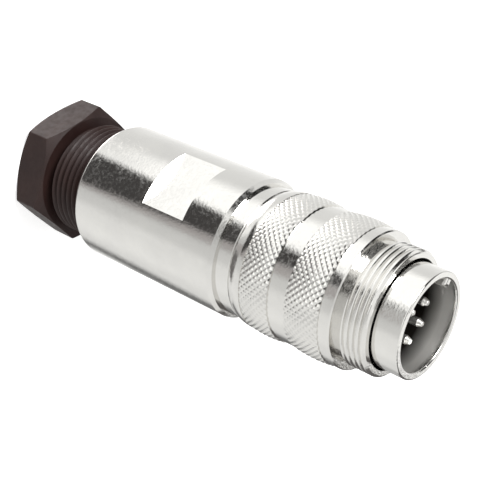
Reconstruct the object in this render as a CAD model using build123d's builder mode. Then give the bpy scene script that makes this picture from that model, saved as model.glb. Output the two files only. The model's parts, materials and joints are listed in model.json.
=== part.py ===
from build123d import *
import os
from math import cos, pi, radians, sin, tan

# Circular cable connector with a screw-coupling ring, standing on the head of its clamping screw.
# Millimetres. +Z runs along the axis and up, out of the mating face, and the origin is the middle of the
# shield sleeve's mouth. Stations along Z are counted down from there, so they are negative.

# Clearances
running_gap = 0.05  # radial, where one piece turns or slides in another
slide_gap = 0.1  # radial, around the clamping pieces that are pushed along the bore
fit_gap = 0.02  # where two pieces are pressed or screwed together for good
end_play = 0.3  # beside the faces of a piece that turns

# Shield sleeve
sleeve_radius = 6.7
sleeve_wall = 0.9
sleeve_reach = 3.5  # how far it stands out of the coupling ring
sleeve_relief = 0.2  # the sleeve is this much smaller inside the coupling ring
sleeve_relief_lead = 0.15  # and gets smaller this far in front of the ring
sleeve_rim_round = 0.2
flange_length = 2.0
insulator_seat_depth = 1.0  # from the flange's front to the step that stops the insulator
insulator_seat_step = 0.45
spigot_wall = 0.75
spigot_engagement = 6.4
key_height = 1.0
key_width = 1.4
key_setback = 0.15
key_nose_round = 0.45
key_angle = 180  # from +X towards +Y

# Contact insulator and pins
insulator_nose = 1.5
insulator_flange_length = 4.5
insulator_edge = 0.2
pin_circle_radius = 3.5
pin_pitch_angle = 45
circle_pin_count = 7
centre_pin_offset = 0.65  # the middle pin sits off the axis, towards the key
pin_radius = 0.55
pin_recess = 2.4  # from the mouth back to the pins' tips
pin_tip_length = 0.65
pin_tip_radius = 0.3
pin_tip_round = 0.18
pin_collar_depth = 4.0  # from the insulator's face back to the pins' collars
pin_collar_radius = 0.83
pin_tail_length = 4.5  # behind the insulator
solder_cup_radius = 0.55
solder_cup_depth = 2.6
solder_cup_opening = 2.0
solder_cup_lip = 0.15  # the cup's side is open from this height above its middle

# Coupling ring
ring_lip_gap = 0.26  # the dark line around the shield sleeve
ring_lip_length = 5.2
ring_lip_wall = 0.99
coupling_thread_length = 3.3
coupling_thread_chamfer = 0.35
thread_relief_width = 0.95
thread_relief_depth = 0.5
rim_height = 0.85  # heights of the ring's outside, above its bore
rim_length = 1.55
rim_chamfer = 0.15
grip_crown = 0.18
front_grip_height = 1.0
front_grip_length = 4.9
groove_height = 0.9
groove_length = 2.5
rear_grip_height = 1.1
rear_grip_length = 4.3
ring_end_length = 1.9
ring_end_height = 0.7
ring_end_bulge = 0.12  # of the rounded end, out of the straight line between its two edges
bore_chamfer = 0.15

# Retaining ring and seal behind the sleeve's flange
retaining_ring_length = 0.8
retaining_ring_bite = 0.45
retaining_ring_clearance = 0.4
retaining_ring_split = 1.6
body_seal_section = 0.7
body_seal_space = 1.5

# Housing
guide_wall = 0.93
neck_gap = 0.15  # from the coupling ring's end to the neck
neck_step = 0.75
neck_length = 2.25
shoulder_step = 0.7
shoulder_face_width = 0.35
shoulder_chamfer_length = 0.6
main_bore_step = 0.18
housing_edge = 0.15
housing_rear_round = 0.35
flat_setback = 6.0  # from the shoulder to the wrench flats
flat_length = 7.0
flat_depth = 1.15
flat_angle = 66  # from +X towards +Y
flat_count = 2

# Spacer, shield ring and cable seal
spacer_wall = 0.83
spacer_length = 13.0
spacer_joint = 0.1
shield_ring_length = 1.0
shield_ring_bore = 4.9
cable_seal_length = 6.0
cable_seal_bore = 4.2
cable_seal_cone = 1.4

# Clamping pieces
squeeze_travel = 3.0  # how far the screw still goes in before the cage meets the seal
cage_length = 4.8
cage_bore = 4.9
cage_taper = 0.7
cage_taper_length = 3.4
cage_slot_length = 3.2
cage_slot_width = 1.0
cage_slot_count = 6
washer_length = 0.8
washer_inset = 0.25

# Clamping screw
clamp_thread_step = 0.8
clamp_thread_engagement = 6.4
clamp_thread_chamfer = 0.5
clamp_thread_pitch = 1.0
clamp_thread_depth = 0.6
clamp_thread_crest = 0.25  # width of the flat top of each turn
shank_exposed_length = 7.5
shank_relief_width = 1.3
shank_relief_depth = 1.3
cable_bore = 4.6
cable_bore_round = 0.8
head_ledge = 0.68  # from the thread's crest out to the hexagon's flats
head_length = 5.3
head_chamfer_angle = 30
head_chamfer_inset = 0.1
head_angle = 19.5  # of one corner, from +X towards +Y
head_sides = 6

# Radii, worked out from the sleeve outwards
sleeve_bore = sleeve_radius - sleeve_wall
insulator_seat_bore = sleeve_bore + insulator_seat_step
spigot_radius = insulator_seat_bore + spigot_wall
spigot_bore = spigot_radius + fit_gap
guide_radius = spigot_bore + guide_wall
ring_bore = guide_radius + running_gap
ring_lip_bore = sleeve_radius + ring_lip_gap
coupling_thread_radius = ring_lip_bore + ring_lip_wall
retaining_groove_radius = ring_bore + retaining_ring_bite
neck_radius = guide_radius + neck_step
housing_radius = neck_radius + shoulder_step
main_bore = spigot_bore + main_bore_step
clamp_thread_radius = main_bore + clamp_thread_step
clamp_bore = clamp_thread_radius + running_gap
head_half_flats = clamp_thread_radius + head_ledge
head_corner_radius = head_half_flats / cos(pi / head_sides)

# Stations, worked out from the mouth backwards
ring_front = -sleeve_reach
thread_rear = ring_front - coupling_thread_length
rim_front = thread_rear - thread_relief_width
rim_rear = rim_front - rim_length
front_grip_rear = rim_rear - front_grip_length
groove_rear = front_grip_rear - groove_length
rear_grip_rear = groove_rear - rear_grip_length
ring_rear = rear_grip_rear - ring_end_length
ring_lip_rear = ring_front - ring_lip_length
flange_front = ring_lip_rear - end_play
flange_rear = flange_front - flange_length
retaining_ring_front = flange_rear - end_play
retaining_ring_rear = retaining_ring_front - retaining_ring_length
guide_front = retaining_ring_rear - body_seal_space
spigot_rear = guide_front - spigot_engagement
insulator_seat = flange_front - insulator_seat_depth
insulator_face = insulator_seat + insulator_nose
insulator_rear = insulator_seat - fit_gap - insulator_flange_length
pin_collar_front = insulator_face - pin_collar_depth
pin_rear = insulator_rear - pin_tail_length
neck_front = ring_rear - neck_gap
shoulder_front = neck_front - neck_length
flat_front = shoulder_front - flat_setback
spacer_front = insulator_rear - fit_gap
spacer_rear = spacer_front - spacer_length
shield_ring_front = spacer_rear - fit_gap
shield_ring_rear = shield_ring_front - shield_ring_length
cable_seal_front = shield_ring_rear - fit_gap
cable_seal_rear = cable_seal_front - cable_seal_length
cage_front = cable_seal_rear - squeeze_travel - end_play
cage_rear = cage_front - cage_length
washer_front = cage_rear - fit_gap
washer_rear = washer_front - washer_length
screw_front = washer_rear - running_gap
clamp_bore_front = washer_front + squeeze_travel + end_play
housing_rear = screw_front - clamp_thread_engagement
head_front = housing_rear - shank_exposed_length
head_rear = head_front - head_length

os.makedirs("parts", exist_ok=True)


def save(part, name):
    """Label a finished piece and write it to its own file."""
    part.label = name
    export_step(part, f"parts/{name}.step")


def polar(radius, angle):
    """The point of the section plane at this radius and angle, as (X, Y)."""
    return radius * cos(radians(angle)), radius * sin(radians(angle))


# Shield sleeve: a turned tube with the flange that holds the coupling ring, and the key inside its mouth.
# Each turned profile is drawn on the XZ plane as (radius, station).
sleeve_shaft_radius = sleeve_radius - sleeve_relief
relief_start = ring_front + sleeve_relief_lead
key_length = key_setback + insulator_face + fit_gap
key_root_radius = sleeve_bore + sleeve_wall / 2
with BuildPart() as shield_sleeve:
    with BuildSketch(Plane.XY.offset(-key_setback)):
        with PolarLocations((sleeve_bore - key_height + key_root_radius) / 2, 1, start_angle=key_angle):
            Rectangle(key_root_radius - sleeve_bore + key_height, key_width)
    extrude(amount=key_length)
    fillet(shield_sleeve.faces().sort_by(Axis.Z)[-1].edges(), radius=key_nose_round)
    with BuildSketch(Plane.XZ):
        with BuildLine():
            Polyline(
                (sleeve_bore, 0),
                (sleeve_radius, 0),
                (sleeve_radius, relief_start),
                (sleeve_shaft_radius, relief_start - sleeve_relief),
                (sleeve_shaft_radius, flange_front),
                (guide_radius, flange_front),
                (guide_radius, flange_rear),
                (spigot_radius, flange_rear),
                (spigot_radius, spigot_rear),
                (insulator_seat_bore, spigot_rear),
                (insulator_seat_bore, insulator_seat),
                (sleeve_bore, insulator_seat),
                close=True,
            )
        make_face()
    revolve(axis=Axis.Z)
    mouth_rims = shield_sleeve.edges().filter_by(GeomType.CIRCLE).group_by(Axis.Z)[-1]
    fillet(mouth_rims, radius=sleeve_rim_round)
save(shield_sleeve.part, "shield_sleeve")

# Contact places: a circle of pins that leaves a gap at the key, and one pin near the middle
first_pin_angle = key_angle + 180 - pin_pitch_angle * (circle_pin_count - 1) / 2
pin_places = [
    polar(pin_circle_radius, first_pin_angle + pin_pitch_angle * index) for index in range(circle_pin_count)
]
pin_places.append(polar(centre_pin_offset, key_angle))

# Contact insulator: a stepped disc, bored for the pins and counterbored from behind for their collars
with BuildPart() as contact_insulator:
    with BuildSketch(Plane.XZ):
        with BuildLine():
            Polyline(
                (0, insulator_face),
                (sleeve_bore - fit_gap - insulator_edge, insulator_face),
                (sleeve_bore - fit_gap, insulator_face - insulator_edge),
                (sleeve_bore - fit_gap, insulator_seat - fit_gap),
                (insulator_seat_bore - fit_gap, insulator_seat - fit_gap),
                (insulator_seat_bore - fit_gap, insulator_rear),
                (0, insulator_rear),
                close=True,
            )
        make_face()
    revolve(axis=Axis.Z)
    with BuildSketch(Plane.XY.offset(insulator_face)):
        with Locations(*pin_places):
            Circle(pin_radius + fit_gap)
    extrude(amount=insulator_rear - insulator_face, mode=Mode.SUBTRACT)
    with BuildSketch(Plane.XY.offset(insulator_rear)):
        with Locations(*pin_places):
            Circle(pin_collar_radius + fit_gap)
    extrude(amount=pin_collar_front + fit_gap - insulator_rear, mode=Mode.SUBTRACT)
save(contact_insulator.part, "contact_insulator")

# Contact pins: a round pin with a tapered tip, a collar in the insulator and a solder cup behind it
for number, (pin_x, pin_y) in enumerate(pin_places, start=1):
    with BuildPart() as contact_pin:
        with BuildSketch(Plane((pin_x, pin_y, 0), x_dir=(1, 0, 0), z_dir=(0, -1, 0))) as pin_profile:
            with BuildLine():
                Polyline(
                    (0, -pin_recess),
                    (pin_tip_radius, -pin_recess),
                    (pin_radius, -pin_recess - pin_tip_length),
                    (pin_radius, pin_collar_front),
                    (pin_collar_radius, pin_collar_front),
                    (pin_collar_radius, pin_rear),
                    (0, pin_rear),
                    close=True,
                )
            make_face()
            tip_corner = pin_profile.vertices().group_by(Axis.Y)[-1].sort_by(Axis.X)[-1]
            fillet(tip_corner, radius=pin_tip_round)
        revolve(axis=Axis((pin_x, pin_y, 0), (0, 0, 1)))
        with BuildSketch(Plane.XY.offset(pin_rear)):
            with Locations((pin_x, pin_y)):
                Circle(solder_cup_radius)
        extrude(amount=solder_cup_depth, mode=Mode.SUBTRACT)
        with BuildSketch(Plane.XY.offset(pin_rear)):
            with Locations((pin_x, pin_y + solder_cup_lip + pin_collar_radius)):
                Rectangle(2 * pin_collar_radius, 2 * pin_collar_radius)
        extrude(amount=solder_cup_opening, mode=Mode.SUBTRACT)
    save(contact_pin.part, f"contact_pin_{number}")

# Coupling ring: thread, rim, two crowned grips with a plain groove between them, and the lip inside.
# This thread's turns and the knurl on the grips are finer than this model shows.
rim_radius = ring_bore + rim_height
front_grip_radius = ring_bore + front_grip_height
rear_grip_radius = ring_bore + rear_grip_height
ring_end_radius = ring_bore + ring_end_height
groove_radius = ring_bore + groove_height
relief_radius = coupling_thread_radius - thread_relief_depth
front_grip_middle = (front_grip_radius + grip_crown, (rim_rear + front_grip_rear) / 2)
rear_grip_middle = (rear_grip_radius + grip_crown, (groove_rear + rear_grip_rear) / 2)
ring_end_middle = (
    (rear_grip_radius + ring_end_radius) / 2 + ring_end_bulge,
    (rear_grip_rear + ring_rear) / 2 - ring_end_bulge / 2,
)
with BuildPart() as coupling_ring:
    with BuildSketch(Plane.XZ):
        with BuildLine():
            Polyline(
                (ring_lip_bore + bore_chamfer, ring_front),
                (coupling_thread_radius - coupling_thread_chamfer, ring_front),
                (coupling_thread_radius, ring_front - coupling_thread_chamfer),
                (coupling_thread_radius, thread_rear),
                (relief_radius, thread_rear),
                (relief_radius, rim_front),
                (rim_radius - rim_chamfer, rim_front),
                (rim_radius, rim_front - rim_chamfer),
                (rim_radius, rim_rear),
                (front_grip_radius, rim_rear),
            )
            ThreePointArc(
                (front_grip_radius, rim_rear), front_grip_middle, (front_grip_radius, front_grip_rear)
            )
            Polyline(
                (front_grip_radius, front_grip_rear),
                (groove_radius, front_grip_rear),
                (groove_radius, groove_rear),
                (rear_grip_radius, groove_rear),
            )
            ThreePointArc(
                (rear_grip_radius, groove_rear), rear_grip_middle, (rear_grip_radius, rear_grip_rear)
            )
            ThreePointArc((rear_grip_radius, rear_grip_rear), ring_end_middle, (ring_end_radius, ring_rear))
            Polyline(
                (ring_end_radius, ring_rear),
                (ring_bore + bore_chamfer, ring_rear),
                (ring_bore, ring_rear + bore_chamfer),
                (ring_bore, retaining_ring_rear - fit_gap),
                (retaining_groove_radius, retaining_ring_rear - fit_gap),
                (retaining_groove_radius, retaining_ring_front + fit_gap),
                (ring_bore, retaining_ring_front + fit_gap),
                (ring_bore, ring_lip_rear),
                (ring_lip_bore, ring_lip_rear),
                (ring_lip_bore, ring_front - bore_chamfer),
                (ring_lip_bore + bore_chamfer, ring_front),
            )
        make_face()
    revolve(axis=Axis.Z)
save(coupling_ring.part, "coupling_ring")

# Retaining ring: a split spring ring in the coupling ring's groove, behind the sleeve's flange
with BuildPart() as retaining_ring:
    with BuildSketch(Plane.XY.offset(retaining_ring_front)):
        Circle(retaining_groove_radius - fit_gap)
        Circle(spigot_radius + retaining_ring_clearance, mode=Mode.SUBTRACT)
        with Locations((0, -ring_bore)):
            Rectangle(retaining_ring_split, ring_bore, mode=Mode.SUBTRACT)
    extrude(amount=-retaining_ring_length)
save(retaining_ring.part, "retaining_ring")

# Body seal: a round ring on the sleeve's spigot, against the front of the housing
body_seal_centre = guide_front + fit_gap + body_seal_section / 2
with BuildPart() as body_o_ring:
    with BuildSketch(Plane.XZ):
        with Locations((spigot_radius + fit_gap + body_seal_section / 2, body_seal_centre)):
            Circle(body_seal_section / 2)
    revolve(axis=Axis.Z)
save(body_o_ring.part, "body_o_ring")

# Housing: guide for the coupling ring, neck, shoulder, plain body with two wrench flats, stepped bore
with BuildPart() as housing:
    with BuildSketch(Plane.XZ):
        with BuildLine():
            Polyline(
                (housing_radius - housing_rear_round, housing_rear),
                (clamp_bore + housing_edge, housing_rear),
                (clamp_bore, housing_rear + housing_edge),
                (clamp_bore, clamp_bore_front),
                (main_bore, clamp_bore_front),
                (main_bore, spigot_rear),
                (spigot_bore, spigot_rear),
                (spigot_bore, guide_front),
                (guide_radius - housing_edge, guide_front),
                (guide_radius, guide_front - housing_edge),
                (guide_radius, neck_front),
                (neck_radius - housing_edge, neck_front),
                (neck_radius, neck_front - housing_edge),
                (neck_radius, shoulder_front),
                (neck_radius + shoulder_face_width, shoulder_front),
                (housing_radius, shoulder_front - shoulder_chamfer_length),
                (housing_radius, housing_rear + housing_rear_round),
            )
            RadiusArc(
                (housing_radius, housing_rear + housing_rear_round),
                (housing_radius - housing_rear_round, housing_rear),
                housing_rear_round,
            )
        make_face()
    revolve(axis=Axis.Z)
    with BuildSketch(Plane.XY.offset(flat_front)):
        with PolarLocations(housing_radius, flat_count, start_angle=flat_angle):
            Rectangle(2 * flat_depth, 2 * housing_radius)
    extrude(amount=-flat_length, mode=Mode.SUBTRACT)
save(housing.part, "housing")

# Spacer: a tube in two halves that presses the insulator into the sleeve
spacer_sides = (("spacer_left", -1, Keep.BOTTOM), ("spacer_right", 1, Keep.TOP))
for name, side, kept in spacer_sides:
    with BuildPart() as spacer:
        with BuildSketch(Plane.XY.offset(spacer_front)):
            Circle(insulator_seat_bore - fit_gap)
            Circle(insulator_seat_bore - fit_gap - spacer_wall, mode=Mode.SUBTRACT)
        extrude(amount=-spacer_length)
        split(bisect_by=Plane.XZ.offset(side * spacer_joint / 2), keep=kept)
    save(spacer.part, name)

# Shield ring: the washer that the cable's braid is spread over
with BuildPart() as shield_ring:
    with BuildSketch(Plane.XY.offset(shield_ring_front)):
        Circle(main_bore - fit_gap)
        Circle(shield_ring_bore, mode=Mode.SUBTRACT)
    extrude(amount=-shield_ring_length)
save(shield_ring.part, "shield_ring")

# Cable seal: a rubber sleeve, coned at the end that the cage pushes on
cable_seal_radius = main_bore - fit_gap
with BuildPart() as cable_seal:
    with BuildSketch(Plane.XZ):
        with BuildLine():
            Polyline(
                (cable_seal_bore, cable_seal_front),
                (cable_seal_radius, cable_seal_front),
                (cable_seal_radius, cable_seal_rear + cable_seal_cone),
                (cable_seal_radius - cable_seal_cone, cable_seal_rear),
                (cable_seal_bore, cable_seal_rear),
                close=True,
            )
        make_face()
    revolve(axis=Axis.Z)
save(cable_seal.part, "cable_seal")

# Clamp cage: slotted fingers that close on the cable
cage_radius = main_bore - slide_gap
with BuildPart() as clamp_cage:
    with BuildSketch(Plane.XZ):
        with BuildLine():
            Polyline(
                (cage_bore, cage_front),
                (cage_radius - cage_taper, cage_front),
                (cage_radius, cage_front - cage_taper_length),
                (cage_radius, cage_rear),
                (cage_bore, cage_rear),
                close=True,
            )
        make_face()
    revolve(axis=Axis.Z)
    with BuildSketch(Plane.XY.offset(cage_front)):
        with PolarLocations(cage_radius, cage_slot_count):
            Rectangle(cage_radius, cage_slot_width)
    extrude(amount=-cage_slot_length, mode=Mode.SUBTRACT)
save(clamp_cage.part, "clamp_cage")

# Thrust washer: lets the screw turn without twisting the cage
with BuildPart() as thrust_washer:
    with BuildSketch(Plane.XY.offset(washer_front)):
        Circle(clamp_thread_radius - washer_inset)
        Circle(cage_bore, mode=Mode.SUBTRACT)
    extrude(amount=-washer_length)
save(thrust_washer.part, "thrust_washer")

# Clamping screw: a hexagon head chamfered at both ends, an undercut, and the thread as rings at its pitch
head_chamfer_radius = head_half_flats - head_chamfer_inset
head_chamfer_length = (head_corner_radius - head_chamfer_radius) * tan(radians(head_chamfer_angle))
shank_relief_front = head_front + shank_relief_width
clamp_thread_front = screw_front - clamp_thread_chamfer
clamp_thread_turns = int((clamp_thread_front - shank_relief_front) / clamp_thread_pitch)
groove_half_width = (clamp_thread_pitch - clamp_thread_crest) / 2
groove_mouth = groove_half_width * (1 + fit_gap / clamp_thread_depth)  # a little outside the crests
with BuildPart() as clamping_screw:
    with BuildSketch(Plane.XY.offset(head_front)):
        RegularPolygon(head_corner_radius, head_sides, rotation=head_angle)
    extrude(amount=-head_length)
    with BuildSketch(Plane.XZ):
        with BuildLine():
            Polyline(
                (0, head_front),
                (head_chamfer_radius, head_front),
                (head_corner_radius, head_front - head_chamfer_length),
                (head_corner_radius, head_rear + head_chamfer_length),
                (head_chamfer_radius, head_rear),
                (0, head_rear),
                close=True,
            )
        make_face()
    revolve(axis=Axis.Z, mode=Mode.INTERSECT)
    with BuildSketch(Plane.XZ):
        with BuildLine():
            Polyline(
                (0, screw_front),
                (clamp_thread_radius - clamp_thread_chamfer, screw_front),
                (clamp_thread_radius, clamp_thread_front),
                (clamp_thread_radius, shank_relief_front),
                (clamp_thread_radius - shank_relief_depth, shank_relief_front),
                (clamp_thread_radius - shank_relief_depth, head_front),
                (0, head_front),
                close=True,
            )
        make_face()
    revolve(axis=Axis.Z)
    groove_corners = ((-clamp_thread_depth, 0), (fit_gap, -groove_mouth), (fit_gap, groove_mouth))
    with BuildSketch(Plane.XZ):
        with Locations((clamp_thread_radius, (clamp_thread_front + shank_relief_front) / 2)):
            with GridLocations(0, clamp_thread_pitch, 1, clamp_thread_turns):
                Polygon(*groove_corners, align=None)
    revolve(axis=Axis.Z, mode=Mode.SUBTRACT)
    with BuildSketch(Plane.XY.offset(head_rear)):
        Circle(cable_bore)
    extrude(amount=screw_front - head_rear, mode=Mode.SUBTRACT)
    rear_circles = clamping_screw.edges().filter_by(GeomType.CIRCLE).group_by(Axis.Z)[0]
    fillet(rear_circles.sort_by(SortBy.RADIUS)[0], radius=cable_bore_round)
save(clamping_screw.part, "clamping_screw")
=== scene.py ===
"""The looks of the circular cable connector, in metres and in the same frame as its solids."""

import json
from math import atan, ceil, cos, pi, radians, sin, tan

import bmesh
import bpy
import numpy as np
from mathutils import Matrix, Vector


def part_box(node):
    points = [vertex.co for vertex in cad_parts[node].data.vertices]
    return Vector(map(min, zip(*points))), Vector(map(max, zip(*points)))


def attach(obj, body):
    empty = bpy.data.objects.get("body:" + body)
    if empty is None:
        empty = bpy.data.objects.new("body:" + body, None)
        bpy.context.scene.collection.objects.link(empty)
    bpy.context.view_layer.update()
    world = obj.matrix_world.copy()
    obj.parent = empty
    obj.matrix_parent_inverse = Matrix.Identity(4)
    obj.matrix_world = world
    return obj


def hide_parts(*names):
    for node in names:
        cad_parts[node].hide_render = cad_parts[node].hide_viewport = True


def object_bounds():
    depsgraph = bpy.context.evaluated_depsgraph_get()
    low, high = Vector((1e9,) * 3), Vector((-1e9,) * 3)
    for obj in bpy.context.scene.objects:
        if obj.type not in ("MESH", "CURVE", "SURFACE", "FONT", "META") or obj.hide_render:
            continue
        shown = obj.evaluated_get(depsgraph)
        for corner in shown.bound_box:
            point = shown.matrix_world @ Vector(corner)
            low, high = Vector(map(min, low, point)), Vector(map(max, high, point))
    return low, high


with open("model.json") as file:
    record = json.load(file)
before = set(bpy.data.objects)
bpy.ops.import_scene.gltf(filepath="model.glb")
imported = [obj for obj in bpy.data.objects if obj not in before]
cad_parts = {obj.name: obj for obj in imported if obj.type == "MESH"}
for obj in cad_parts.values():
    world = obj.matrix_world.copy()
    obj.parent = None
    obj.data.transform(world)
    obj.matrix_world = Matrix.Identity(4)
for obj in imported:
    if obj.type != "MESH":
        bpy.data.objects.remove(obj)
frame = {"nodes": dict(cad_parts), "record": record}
cad_low, cad_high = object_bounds()

# Sizes are in millimetres. Stations are heights above the origin, so they fall towards the rear
MM = 0.001

# Where the ring and the screw are, by their solids
ring_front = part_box("coupling_ring")[1].z / MM
screw_low, screw_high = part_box("clamping_screw")
screw_front, head_rear = screw_high.z / MM, screw_low.z / MM

# Coupling ring: lengths from its front end, and heights of its outside above its bore
ring_bore = 8.0
lip_bore = 6.96
lip_length = 5.2
bore_chamfer = 0.05
coupling_thread_radius = 7.95
coupling_thread_length = 3.3
coupling_thread_chamfer = 0.35
coupling_thread_pitch = 0.75
coupling_thread_depth = 0.32
coupling_thread_crest = 0.34  # share of the pitch
coupling_thread_root = 0.16  # share of the pitch
thread_relief_depth = 0.5
thread_relief_width = 0.95
rim_height = 0.85
rim_length = 1.55
rim_chamfer = 0.15
front_grip_height = 1.0
front_grip_length = 4.9
groove_height = 0.9
groove_length = 2.5
rear_grip_height = 1.1
rear_grip_length = 4.3
grip_crown = 0.18
ring_end_length = 1.9
ring_end_height = 0.7
ring_end_bulge = 0.12
ring_end_reach = 0.09  # beyond the solid's end, which narrows the slot in front of the neck
retaining_groove_front = 7.78
retaining_groove_length = 0.84
retaining_groove_depth = 0.45

# Knurl: two crossing families of grooves, this many each way, which leave small pyramids with flat tops
knurl_count = 64
knurl_axial_pitch = 0.81
knurl_depth = 0.11
knurl_flank = 0.48  # share of the pitch from a groove's middle to the flat top

# Clamping screw
screw_thread_radius = 8.0
screw_thread_pitch = 1.0
screw_thread_depth = 0.6
screw_thread_crest = 0.06  # share of the pitch
screw_thread_root = 0.0  # share of the pitch
screw_thread_chamfer = 0.5
screw_relief_radius = 6.7
screw_relief_width = 1.3
screw_bore = 4.6
screw_bore_round = 0.8
head_length = 5.3
head_half_flats = 8.68
head_corner_round = 0.35
head_chamfer_radius = 8.58
head_chamfer_slope = tan(radians(30))
head_angle = 19.5  # of one corner, in degrees from +X towards +Y
head_sides = 6

# Mesh
thread_steps = 10  # in a pitch
knurl_steps = 8  # in a pitch, each way
ring_end_steps = 10
bore_round_steps = 8
flat_points = 25  # across a flat of the hexagon
corner_points = 7  # from a flat to the middle of a rounded corner
join_distance = 0.0005
sharp_angle = 28  # in degrees


class Turned:
    """A closed turned piece: rings of points, from the outside's front round to the bore's front."""

    def __init__(self, angles):
        self.angles = angles
        self.radii, self.stations, self.mates = [], [], []

    def ring(self, radius, station):
        """One ring. The radius and the station are numbers, or have a value for each angle."""
        self.mates.append(len(self.radii))
        self.radii.append(radius + 0 * self.angles)
        self.stations.append(station + 0 * self.angles)

    def helix(self, front, rear, pitch, radius_at):
        """Rings that climb one pitch a turn and are cut off at the front and rear stations."""
        first = len(self.radii)
        step = pitch / thread_steps
        for i in range(ceil((front - rear + pitch) / step) + 1):
            station = np.clip(front - i * step + pitch * self.angles / (2 * pi), rear, front)
            self.ring(radius_at(station, self.angles), station)
            self.mates[-1] = first + max(i - thread_steps, 0)

    def mesh(self, name):
        radii, stations = np.array(self.radii), np.array(self.stations)
        x, y = radii * np.cos(self.angles), radii * np.sin(self.angles)
        points = np.stack([x, y, stations], axis=-1) * MM
        index = np.arange(radii.size).reshape(radii.shape)
        # After its last angle a ring meets its mate: itself, or in a helix the ring one turn before it
        after = np.concatenate([index[:, 1:], index[self.mates, :1]], axis=1)
        corners = [index, np.roll(index, -1, axis=0), np.roll(after, -1, axis=0), after]
        a, b, c, d = (corner.ravel() for corner in corners)
        # Each square is cut along its lower diagonal, which keeps the bottom of a groove straight
        height = radii.ravel()
        ac_is_lower = (height[a] + height[c] <= height[b] + height[d])[:, None]
        one = np.where(ac_is_lower, np.stack([a, b, c], axis=1), np.stack([a, b, d], axis=1))
        two = np.where(ac_is_lower, np.stack([a, c, d], axis=1), np.stack([b, c, d], axis=1))
        triangles = np.concatenate([one, two])
        mesh = bpy.data.meshes.new(name)
        mesh.from_pydata(points.reshape(-1, 3).tolist(), [], triangles.tolist())
        return cleaned(mesh)


def cleaned(mesh):
    """Joins the points where cut-off rings fall together, and shades all but the sharp edges smooth."""
    work = bmesh.new()
    work.from_mesh(mesh)
    bmesh.ops.remove_doubles(work, verts=work.verts, dist=join_distance * MM)
    bmesh.ops.dissolve_degenerate(work, edges=work.edges, dist=join_distance * MM / 2)
    work.to_mesh(mesh)
    work.free()
    mesh.shade_smooth()
    mesh.set_sharp_from_angle(angle=radians(sharp_angle))
    return mesh


def thread_form(station, angles, pitch, crest, root):
    """Share of the thread's depth at each point, from 0 at the crest to 1 at the root."""
    turns = station / pitch - angles / (2 * pi)
    from_crest = np.abs(turns - np.round(turns))
    flank = 0.5 - root / 2 - crest / 2
    return np.clip((from_crest - crest / 2) / flank, 0, 1)


def knurl_form(stations, angles, front):
    """Share of the knurl's height at each point: 0 in the grooves and 1 on the flat tops."""
    around = knurl_count * angles / (2 * pi)
    along = (stations - front) / knurl_axial_pitch
    height = 1.0
    for way in (1, -1):
        turns = around + way * along
        from_groove = np.abs(turns - np.round(turns))
        height = np.minimum(height, from_groove / knurl_flank)
    return height


def add_piece(name, mesh, node, body, material):
    piece = bpy.data.objects.new(name, mesh)
    bpy.context.scene.collection.objects.link(piece)
    piece.data.materials.append(material)
    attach(piece, body)
    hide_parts(node)


def coupling_thread_radii(station, angles):
    form = (coupling_thread_pitch, coupling_thread_crest, coupling_thread_root)
    thread = coupling_thread_radius - coupling_thread_depth * thread_form(station, angles, *form)
    chamfer = coupling_thread_radius - coupling_thread_chamfer + (ring_front - station)
    return np.minimum(thread, chamfer)


def knurled_band(turned, front, length, height):
    steps = round(length / knurl_axial_pitch * knurl_steps)
    for i in range(steps + 1):
        across = 2 * i / steps - 1
        station = front - length * i / steps
        crown = ring_bore + height + grip_crown * (1 - across**2)
        form = knurl_form(station, turned.angles, front)
        turned.ring(crown - knurl_depth * (1 - form), station)


def coupling_ring_mesh():
    around = knurl_count * knurl_steps
    turned = Turned(np.arange(around) * 2 * pi / around)
    thread_rear = ring_front - coupling_thread_length
    rim_front = thread_rear - thread_relief_width
    rim_rear = rim_front - rim_length
    grip_rear = rim_rear - front_grip_length
    groove_rear = grip_rear - groove_length
    end_front = groove_rear - rear_grip_length
    end_length = ring_end_length + ring_end_reach
    end_rear = end_front - end_length
    # The outside, from front to rear
    turned.helix(ring_front, thread_rear, coupling_thread_pitch, coupling_thread_radii)
    relief = coupling_thread_radius - thread_relief_depth
    turned.ring(relief, thread_rear)
    turned.ring(relief, rim_front)
    turned.ring(ring_bore + rim_height - rim_chamfer, rim_front)
    turned.ring(ring_bore + rim_height, rim_front - rim_chamfer)
    turned.ring(ring_bore + rim_height, rim_rear)
    knurled_band(turned, rim_rear, front_grip_length, front_grip_height)
    turned.ring(ring_bore + groove_height, grip_rear)
    turned.ring(ring_bore + groove_height, groove_rear)
    knurled_band(turned, groove_rear, rear_grip_length, rear_grip_height)
    for i in range(ring_end_steps + 1):
        share = i / ring_end_steps
        straight = rear_grip_height + (ring_end_height - rear_grip_height) * share
        bulge = ring_end_bulge * (1 - (2 * share - 1) ** 2)
        turned.ring(ring_bore + straight + bulge, end_front - end_length * share)
    # The bore, from rear to front
    turned.ring(ring_bore + bore_chamfer, end_rear)
    turned.ring(ring_bore, end_rear + bore_chamfer)
    groove_front = ring_front - retaining_groove_front
    turned.ring(ring_bore, groove_front - retaining_groove_length)
    turned.ring(ring_bore + retaining_groove_depth, groove_front - retaining_groove_length)
    turned.ring(ring_bore + retaining_groove_depth, groove_front)
    turned.ring(ring_bore, groove_front)
    turned.ring(ring_bore, ring_front - lip_length)
    turned.ring(lip_bore, ring_front - lip_length)
    turned.ring(lip_bore, ring_front - bore_chamfer)
    turned.ring(lip_bore + bore_chamfer, ring_front)
    return turned.mesh("coupling_ring_knurled")


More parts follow.
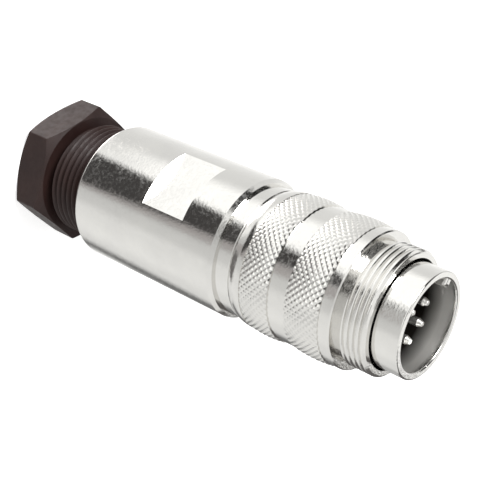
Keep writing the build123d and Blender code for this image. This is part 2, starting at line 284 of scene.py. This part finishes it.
def head_angles():
    """Angles around the hexagon, closer together on its rounded corners, and the radius at each."""
    half = pi / head_sides
    centre = (head_half_flats - head_corner_round) / cos(half)
    turn = atan((head_half_flats - head_corner_round) * tan(half) / head_half_flats)
    flat = np.linspace(-turn, turn, flat_points)
    corner = np.linspace(turn, half, corner_points)[1:]
    offsets = np.concatenate([flat, corner, 2 * half - corner[-2::-1]])
    sides = [radians(head_angle) + half + 2 * half * side + offsets for side in range(head_sides)]
    angles = np.sort(np.concatenate(sides) % (2 * pi))
    from_flat = (angles - radians(head_angle)) % (2 * half) - half
    from_corner = half - np.abs(from_flat)
    reach = centre * np.sin(from_corner)
    arc = centre * np.cos(from_corner) + np.sqrt(np.maximum(head_corner_round**2 - reach**2, 0))
    return angles, np.where(np.abs(from_flat) <= turn, head_half_flats / np.cos(from_flat), arc)


def screw_thread_radii(station, angles):
    form = (screw_thread_pitch, screw_thread_crest, screw_thread_root)
    share = thread_form(station, angles, *form)
    rounded = share * share * (3 - 2 * share)
    thread = screw_thread_radius - screw_thread_depth * rounded
    chamfer = screw_thread_radius - screw_thread_chamfer + (screw_front - station)
    return np.minimum(thread, chamfer)


def clamping_screw_mesh():
    angles, side = head_angles()
    turned = Turned(angles)
    head_front = head_rear + head_length
    relief_front = head_front + screw_relief_width
    turned.helix(screw_front, relief_front, screw_thread_pitch, screw_thread_radii)
    turned.ring(screw_relief_radius, relief_front)
    turned.ring(screw_relief_radius, head_front)
    drop = (side - head_chamfer_radius) * head_chamfer_slope
    turned.ring(head_chamfer_radius, head_front)
    turned.ring(side, head_front - drop)
    turned.ring(side, head_rear + drop)
    turned.ring(head_chamfer_radius, head_rear)
    for i in range(bore_round_steps + 1):
        turn = pi / 2 * i / bore_round_steps
        turned.ring(
            screw_bore + screw_bore_round * (1 - sin(turn)),
            head_rear + screw_bore_round * (1 - cos(turn)),
        )
    turned.ring(screw_bore, screw_front)
    return turned.mesh("clamping_screw_threaded")


# Marks in the surfaces: how large they are across, and how they change a colour or a roughness
noise_span = (0.3, 0.7)  # where the values of noise mostly lie
metal_cloud_size = 4.0
metal_grain_size = 0.32
metal_wave_size = 1.6
dull_patch_size = 0.5
dull_patch_span = (0.4, 0.75)  # noise at which a patch sets in, and at which it is dullest
brightest_share = 0.8  # of a metal's roughness, between the patches
turning_mark_size = 0.12
turning_mark_stretch = 30
turning_mark_height = 0.004
turning_mark_shade = 0.85
steel_dullness = (0.8, 1.3)
plastic_cloud_size = 3.0
plastic_sheen_size = 0.8
plastic_grain_size = 0.15
plastic_dullness = (0.85, 1.2)

# Down the sleeve's bore the colour darkens to near black, which is painted shade in the recess, and the
# surface gets duller. The soft edge is beyond the bore's radius
sleeve_bore_radius = 5.8
sleeve_bore_edge = 0.1
painted_shade_start, painted_shade_end = 1.7, 4.0
dull_depth = 0.8
bore_painted_shade = (0.04, 0.034, 0.030)
bare_roughness = 0.5


class Graph:
    """The nodes of a material or of the world, and how they are joined."""

    def __init__(self, tree):
        self.nodes, self.links = tree.nodes, tree.links

    def feed(self, socket, value):
        """Gives a socket what another socket says, a colour or a number."""
        if isinstance(value, bpy.types.NodeSocket):
            self.links.new(value, socket)
        elif isinstance(value, (tuple, list)):
            socket.default_value = (*value, 1)
        else:
            socket.default_value = value

    def ranged(self, value, starts, ends, smooth=False):
        """The value, taken from between the starts to between the ends."""
        node = self.nodes.new("ShaderNodeMapRange")
        node.interpolation_type = "SMOOTHSTEP" if smooth else "LINEAR"
        for name, limit in zip(("From Min", "From Max", "To Min", "To Max"), (*starts, *ends)):
            self.feed(node.inputs[name], limit)
        self.links.new(value, node.inputs["Value"])
        return node.outputs["Result"]

    def mixed(self, share, low_color, high_color):
        """The low colour where the share is 0, the high one where it is 1."""
        node = self.nodes.new("ShaderNodeMix")
        node.data_type = "RGBA"
        self.feed(node.inputs["A"], low_color)
        self.feed(node.inputs["B"], high_color)
        self.links.new(share, node.inputs["Factor"])
        return node.outputs["Result"]

    def by_ray(self, plain, seen):
        """The seen shader for the camera's own rays, and the plain one for all others."""
        path = self.nodes.new("ShaderNodeLightPath")
        switch = self.nodes.new("ShaderNodeMixShader")
        self.links.new(path.outputs["Is Camera Ray"], switch.inputs["Fac"])
        self.links.new(plain, switch.inputs[1])
        self.links.new(seen, switch.inputs[2])
        return switch.outputs["Shader"]


class Shader(Graph):
    """A material made of nodes around one Principled shader."""

    def __init__(self, name, color, metallic, roughness):
        self.material = bpy.data.materials.new(name)
        self.material.use_nodes = True
        super().__init__(self.material.node_tree)
        self.surface = self.nodes["Principled BSDF"]
        self.use("Base Color", color)
        self.use("Metallic", metallic)
        self.use("Roughness", roughness)
        self.place = self.nodes.new("ShaderNodeTexCoord").outputs["Object"]

    def use(self, socket, value):
        self.feed(self.surface.inputs[socket], value)

    def noise(self, size, stretch=(1, 1, 1), detail=2.0):
        """Noise whose features are about this large, and longer along an axis where stretch is over 1."""
        mapping = self.nodes.new("ShaderNodeMapping")
        mapping.inputs["Scale"].default_value = [1 / (size * MM * s) for s in stretch]
        self.links.new(self.place, mapping.inputs["Vector"])
        texture = self.nodes.new("ShaderNodeTexNoise")
        texture.inputs["Scale"].default_value = 1.0
        texture.inputs["Detail"].default_value = detail
        self.links.new(mapping.outputs["Vector"], texture.inputs["Vector"])
        return texture.outputs["Fac"]

    def spread(self, noise, low, high):
        """Noise, taken from where it mostly lies to between low and high."""
        return self.ranged(noise, noise_span, (low, high))

    def bump(self, value, height, under=None):
        """Relief of this height, on top of the relief under it."""
        node = self.nodes.new("ShaderNodeBump")
        node.inputs["Strength"].default_value = 1.0
        node.inputs["Distance"].default_value = height * MM
        self.links.new(value, node.inputs["Height"])
        if under:
            self.links.new(under, node.inputs["Normal"])
        return node.outputs["Normal"]

    def bore_depth(self, radius, edge, start, end):
        """Rises from 0 to 1 between two depths down the bore, and is 0 outside the bore."""
        flat = self.nodes.new("ShaderNodeVectorMath")
        flat.operation = "MULTIPLY"
        flat.inputs[1].default_value = (1, 1, 0)
        self.links.new(self.place, flat.inputs[0])
        length = self.nodes.new("ShaderNodeVectorMath")
        length.operation = "LENGTH"
        self.links.new(flat.outputs["Vector"], length.inputs[0])
        inside = self.ranged(length.outputs["Value"], (radius * MM, (radius + edge) * MM), (1, 0))
        parts = self.nodes.new("ShaderNodeSeparateXYZ")
        self.links.new(self.place, parts.inputs["Vector"])
        return self.ranged(parts.outputs["Z"], (-start * MM, -end * MM), (0, inside))


def plated_metal(name, color, tint, roughness, dullest, grain, waviness, bore=None):
    """Tumbled and plated metal: bright, with duller patches, and with painted shade that darkens the
    colour deep inside the bore, where it is also duller.
    """
    shader = Shader(name, color, 1.0, roughness)
    clouds = shader.mixed(shader.spread(shader.noise(metal_cloud_size), 0, 1), color, tint)
    patches = shader.noise(dull_patch_size, detail=3.0)
    dullness = shader.ranged(patches, dull_patch_span, (roughness * brightest_share, dullest))
    if bore:
        # Painted shade: the colour darkens to near black down the bore
        clouds = shader.mixed(shader.bore_depth(*bore, painted_shade_start, painted_shade_end), clouds, bore_painted_shade)
        dulling = shader.bore_depth(*bore, 0, dull_depth)
        dullness = shader.ranged(dulling, (0, 1), (dullness, bare_roughness))
    shader.use("Base Color", clouds)
    shader.use("Roughness", dullness)
    fine = shader.bump(shader.noise(metal_grain_size), grain)
    shader.use("Normal", shader.bump(shader.noise(metal_wave_size), waviness, fine))
    return shader.material


def turned_steel(name, color, roughness):
    """Bare steel with fine marks around the axis."""
    shader = Shader(name, color, 1.0, roughness)
    marks = shader.noise(turning_mark_size, stretch=(turning_mark_stretch, turning_mark_stretch, 1))
    shader.use("Base Color", shader.mixed(marks, [c * turning_mark_shade for c in color], color))
    shader.use("Roughness", shader.spread(marks, *(roughness * share for share in steel_dullness)))
    shader.use("Normal", shader.bump(marks, turning_mark_height))
    return shader.material


def moulded_plastic(name, color, tint, roughness, grain, specular=0.5):
    """Moulded plastic with a satin skin, faint clouding and a fine grain."""
    shader = Shader(name, color, 0.0, roughness)
    clouds = shader.spread(shader.noise(plastic_cloud_size), 0, 1)
    shader.use("Base Color", shader.mixed(clouds, color, tint))
    sheen = shader.noise(plastic_sheen_size)
    shader.use("Roughness", shader.spread(sheen, *(roughness * share for share in plastic_dullness)))
    shader.use("Normal", shader.bump(shader.noise(plastic_grain_size, detail=3.0), grain))
    shader.use("Specular IOR Level", specular)
    return shader.material


# Tent. Its panels are each a heading, in degrees from +X towards +Y, and the brightness there
neutral = (1.0, 1.0, 0.985)
warm = (1.0, 0.95, 0.93)
tent_strength = 1.3
tent_panels = (
    (-180, 0.66),
    (-150, 0.70),
    (-118, 0.85),
    (-95, 0.50),
    (-75, 0.48),
    (-50, 0.55),
    (-32, 0.69),
    (5, 0.74),
    (28, 0.66),
    (60, 0.56),
    (80, 0.68),
    (98, 0.84),
    (118, 0.84),
    (138, 0.73),
    (160, 0.67),
    (180, 0.66),
)

# Rises are in degrees above the horizon. A card that widens or turns has its two widths at these
card_rises = (-45, -25)

# A card that reaches past the lowest or highest rise, or has this half width, has no edge there
nadir, zenith = -100, 100
all_round = 200


class Tent(Graph):
    """The pale tent around the object, with soft-edged cards in it that give the metal its bands."""

    def __init__(self, world):
        super().__init__(world.node_tree)
        direction = self.nodes.new("ShaderNodeSeparateXYZ")
        place = self.nodes.new("ShaderNodeTexCoord").outputs["Generated"]
        self.links.new(place, direction.inputs["Vector"])
        compass = self.math("ARCTAN2", direction.outputs["Y"], direction.outputs["X"])
        self.heading = self.math("DEGREES", compass)
        self.rise = self.math("DEGREES", self.math("ARCSINE", direction.outputs["Z"]))
        self.color = self.walls()

    def math(self, operation, *values):
        node = self.nodes.new("ShaderNodeMath")
        node.operation = operation
        for socket, value in zip(node.inputs, values):
            self.feed(socket, value)
        return node.outputs["Value"]

    def walls(self):
        """The tent itself, whose panels run into one another."""
        ramp = self.nodes.new("ShaderNodeValToRGB")
        ramp.color_ramp.interpolation = "EASE"
        stops = ramp.color_ramp.elements
        while len(stops) > 1:
            stops.remove(stops[-1])
        for i, (heading, level) in enumerate(tent_panels):
            place = (heading + 180) / 360
            stop = stops[0] if i == 0 else stops.new(place)
            stop.position = place
            stop.color = [*(level * c for c in neutral), 1]
        self.links.new(self.ranged(self.heading, (-180, 180), (0, 1)), ramp.inputs["Fac"])
        return ramp.outputs["Color"]

    def card(self, low, rises, level, tint, edge=12, rise_edge=6, high=None):
        """Lays one card over what is there, from the first to the second of the rises.

        Low is its middle heading and its half width. With high, low belongs to the lower of card_rises and
        high to the upper one.
        """
        middle, half = low
        if high:
            middle, half = (self.ranged(self.rise, card_rises, pair) for pair in zip(low, high))
        turned = self.math("SUBTRACT", self.heading, middle)
        off = self.math("ABSOLUTE", self.math("WRAP", turned, 180.0, -180.0))
        inside = self.math("SUBTRACT", half, off)
        cover = self.ranged(inside, (-edge / 2, edge / 2), (0, 1), smooth=True)
        for limit, side in zip(rises, (1, -1)):
            ends = (limit - side * rise_edge / 2, limit + side * rise_edge / 2)
            cover = self.math("MULTIPLY", cover, self.ranged(self.rise, ends, (0, 1), smooth=True))
        self.color = self.mixed(cover, self.color, [level * c for c in tint])


def studio_world():
    world = bpy.data.worlds.new("studio")
    bpy.context.scene.world = world
    world.use_nodes = True
    tent = Tent(world)
    # The window: a bright strip that widens upwards, and its upper part, nearer to the camera's side
    tent.card((-142, 12), (-41, -14), 1.04, neutral, edge=24, rise_edge=3, high=(-138, 40))
    tent.card((-104, 38), (-14, 16), 1.04, neutral, edge=24, rise_edge=4)
    # The dark below the camera, the last card of which narrows upwards
    tent.card((-32, 34), (-76, -54), 0.14, warm, edge=16, rise_edge=8)
    tent.card((-76, 10), (nadir, -26), 0.34, warm, rise_edge=4)
    tent.card((-101, 30), (-49, -26.5), 0.05, warm, edge=10, rise_edge=1, high=(-95, 5))
    # The dimmer and dark parts of the far side, between +X and +Y
    tent.card((77, 15), (-39.5, -12), 0.38, neutral, edge=14, rise_edge=1.5, high=(70, 22))
    tent.card((41, 8), (-45, -25.8), 0.13, neutral, edge=22, rise_edge=2, high=(80, 20))
    tent.card((67, 24), (-18, 44), 0.10, warm, edge=8)
    # The dark camera itself, which the thread's relief and the housing's shoulder show
    tent.card((-97, 19), (25.9, 46), 0.05, warm, edge=14, rise_edge=0.8)
    # The open side of the room, beyond -X, as two cards with a thin light strip between them
    tent.card((-189, 36), (25.9, 58), 0.02, neutral, edge=16, rise_edge=0.8)
    tent.card((-185, 62), (12, 23.9), 0.03, neutral, edge=20, rise_edge=0.8)
    # The ceiling beyond +Y, which is open higher up, and a lamp box overhead
    tent.card((115, 27), (18, zenith), 0.85, neutral, edge=2, rise_edge=10)
    tent.card((90, 60), (43, 64), 0.02, neutral, edge=20)
    tent.card((0, all_round), (64, zenith), 0.8, neutral, rise_edge=12)
    # A low reflector beyond -X for the dark plastic
    tent.card((-178, 26), (nadir, -49), 4.2, warm, edge=20)
    background = tent.nodes["Background"]
    background.inputs["Strength"].default_value = tent_strength
    tent.links.new(tent.color, background.inputs["Color"])
    white = tent.nodes.new("ShaderNodeBackground")
    white.inputs["Color"].default_value = (1, 1, 1, 1)
    shader = tent.by_ray(background.outputs["Background"], white.outputs["Background"])
    tent.links.new(shader, tent.nodes["World Output"].inputs["Surface"])


# Floor: white paper, which glows a little for the camera's own rays only
floor_size = 3000
floor_white = (0.86, 0.86, 0.86)
floor_glow = 0.6


def studio_floor():
    half = floor_size * MM / 2
    sides = ((-1, -1), (1, -1), (1, 1), (-1, 1))
    mesh = bpy.data.meshes.new("floor")
    mesh.from_pydata([(half * x, half * y, cad_low.z) for x, y in sides], [], [(0, 1, 2, 3)])
    floor = bpy.data.objects.new("floor", mesh)
    bpy.context.scene.collection.objects.link(floor)
    floor.visible_glossy = False
    material = bpy.data.materials.new("floor_paper")
    material.use_nodes = True
    graph = Graph(material.node_tree)
    nodes, links = graph.nodes, graph.links
    nodes.remove(nodes["Principled BSDF"])
    paper = nodes.new("ShaderNodeBsdfDiffuse")
    paper.inputs["Color"].default_value = (*floor_white, 1)
    glow = nodes.new("ShaderNodeEmission")
    glow.inputs["Color"].default_value = (1, 1, 1, 1)
    glow.inputs["Strength"].default_value = floor_glow
    both = nodes.new("ShaderNodeAddShader")
    links.new(paper.outputs["BSDF"], both.inputs[0])
    links.new(glow.outputs["Emission"], both.inputs[1])
    shader = graph.by_ray(paper.outputs["BSDF"], both.outputs["Shader"])
    links.new(shader, nodes["Material Output"].inputs["Surface"])
    mesh.materials.append(material)


def soft_lamp(name, place, target, size, watts):
    data = bpy.data.lights.new(name, "AREA")
    data.shape = "DISK"
    data.size = size * MM
    data.energy = watts
    lamp = bpy.data.objects.new(name, data)
    lamp.location = Vector(place) * MM
    lamp.rotation_mode = "QUATERNION"
    lamp.rotation_quaternion = (Vector(target) * MM - lamp.location).to_track_quat("-Z", "Y")
    bpy.context.scene.collection.objects.link(lamp)


# Camera: where the photograph was taken from, with its heading from +Y towards +X, its dip below the
# horizon and its roll about the view
camera_place = (3.48, -112.03, 48.42)
camera_heading = -1.907
camera_dip = 34.542
camera_roll = 113.883
camera_lens = 79.17
camera_sensor = 36.0
camera_near = 5


def photo_camera():
    heading, dip, roll = radians(camera_heading), radians(camera_dip), radians(camera_roll)
    view = Vector((sin(heading) * cos(dip), cos(heading) * cos(dip), -sin(dip)))
    level = view.cross(Vector((0, 0, 1))).normalized()
    upright = level.cross(view)
    right = cos(roll) * level + sin(roll) * upright
    up = cos(roll) * upright - sin(roll) * level
    turn = Matrix((right, up, -view)).transposed()
    data = bpy.data.cameras.new("camera")
    data.lens = camera_lens
    data.sensor_width = camera_sensor
    data.clip_start = camera_near * MM
    camera = bpy.data.objects.new("camera", data)
    camera.matrix_world = Matrix.Translation(Vector(camera_place) * MM) @ turn.to_4x4()
    bpy.context.scene.collection.objects.link(camera)
    bpy.context.scene.camera = camera


# The materials. Grain and waviness are heights of relief
nickel = plated_metal(
    "nickel",
    color=(0.80, 0.79, 0.765),
    tint=(0.76, 0.75, 0.73),
    roughness=0.10,
    dullest=0.24,
    grain=0.009,
    waviness=0.004,
    bore=(sleeve_bore_radius, sleeve_bore_edge),
)
contact_plate = plated_metal(
    "contact_plate",
    color=(0.96, 0.95, 0.92),
    tint=(0.93, 0.92, 0.89),
    roughness=0.4,
    dullest=0.48,
    grain=0.0012,
    waviness=0.001,
)
steel = turned_steel("steel", color=(0.55, 0.55, 0.56), roughness=0.3)
black_plastic = moulded_plastic(
    "black_plastic",
    color=(0.022, 0.021, 0.020),
    tint=(0.030, 0.028, 0.027),
    roughness=0.5,
    grain=0.004,
)
brown_plastic = moulded_plastic(
    "brown_plastic",
    color=(0.022, 0.010, 0.009),
    tint=(0.030, 0.014, 0.012),
    roughness=0.47,
    grain=0.003,
    specular=0.36,
)
rubber = moulded_plastic(
    "rubber",
    color=(0.018, 0.018, 0.018),
    tint=(0.026, 0.026, 0.026),
    roughness=0.75,
    grain=0.006,
)

slot_materials = {
    "nickel_plated_brass": nickel,
    "plated_contacts": contact_plate,
    "spring_steel": steel,
    "black_plastic": black_plastic,
    "dark_brown_plastic": brown_plastic,
    "black_rubber": rubber,
}
for row in frame["record"]["subparts"]:
    node = frame["nodes"][row["node"]]
    node.data.materials.clear()
    node.data.materials.append(slot_materials[row["material_slot"]])

add_piece(
    "coupling_ring_knurled",
    coupling_ring_mesh(),
    "coupling_ring",
    "coupling",
    nickel,
)
add_piece(
    "clamping_screw_threaded",
    clamping_screw_mesh(),
    "clamping_screw",
    "screw",
    brown_plastic,
)

studio_world()
studio_floor()
soft_lamp("key", place=(-260, -200, 250), target=(0, 0, -30), size=200, watts=1.5)
photo_camera()
bpy.context.scene.view_settings.view_transform = "Standard"
